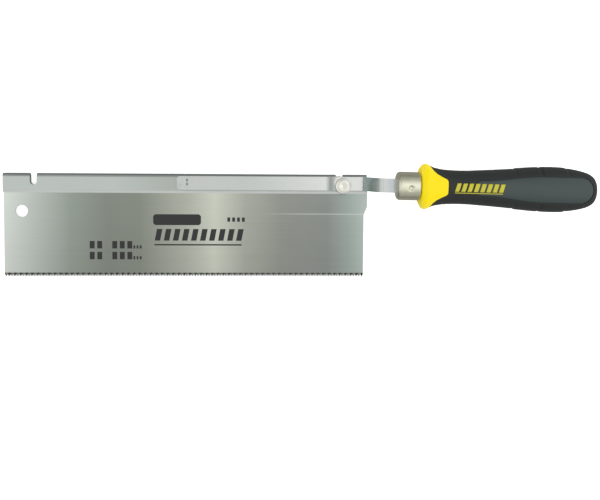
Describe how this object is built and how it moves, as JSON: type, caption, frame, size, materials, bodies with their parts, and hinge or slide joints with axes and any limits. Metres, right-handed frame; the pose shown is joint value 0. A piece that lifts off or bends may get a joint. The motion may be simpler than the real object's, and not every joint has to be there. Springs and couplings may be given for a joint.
{
  "type": "back saw",
  "caption": "Offset back saw: toothed steel blade in a folded spine, with a cranked handle that swings over to either end.",
  "frame": {"origin": "centre of the hanging hole, in the middle of the blade's thickness", "axes": "+X along the blade towards the handle, +Y from the teeth to the spine, +Z off the blade's front face; the saw lies with that face up"},
  "size_m": [0.4035, 0.0804, 0.0473],
  "materials": {
    "blade_steel": "ground and lacquered",
    "spine_steel": "zinc plated, satin",
    "arm_steel": "nickel plated",
    "fittings": "nickel plated",
    "ferrule": "nickel plated, satin",
    "core_plastic": "satin",
    "grip_rubber": "fine matt texture",
    "panel_plastic": "fine texture",
    "badge_ink": "satin",
    "print_ink": "printed, matt"
  },
  "bodies": {
    "saw_blade": {"blade": "blade_steel", "spine": "spine_steel", "pivot_spacer": "fittings", "pivot_rivet": "arm_steel", "pivot_washer": "fittings"},
    "handle_arm": {"arm": "arm_steel", "lock_washer": "fittings", "ferrule": "ferrule", "handle_core": "core_plastic", "soft_grip": "grip_rubber", "front_panel": "panel_plastic", "rear_panel": "panel_plastic", "front_badge": "badge_ink", "rear_badge": "badge_ink"},
    "lock_cam": {"lock_stud": "fittings", "lock_disc": "fittings", "keeper_plate": "fittings"}
  },
  "joints": [
    {"name": "arm_swing", "type": "hinge", "parent": "saw_blade", "child": "handle_arm", "pos_m": [0.1144, 0.0208, 0.0038], "axis": [0, 0, 1], "range_deg": [0, 180]},
    {"name": "lock_turn", "type": "hinge", "parent": "handle_arm", "child": "lock_cam", "pos_m": [0.2203, 0.0208, 0.0038], "axis": [0, 0, 1], "range_deg": [0, 150]}
  ]
}
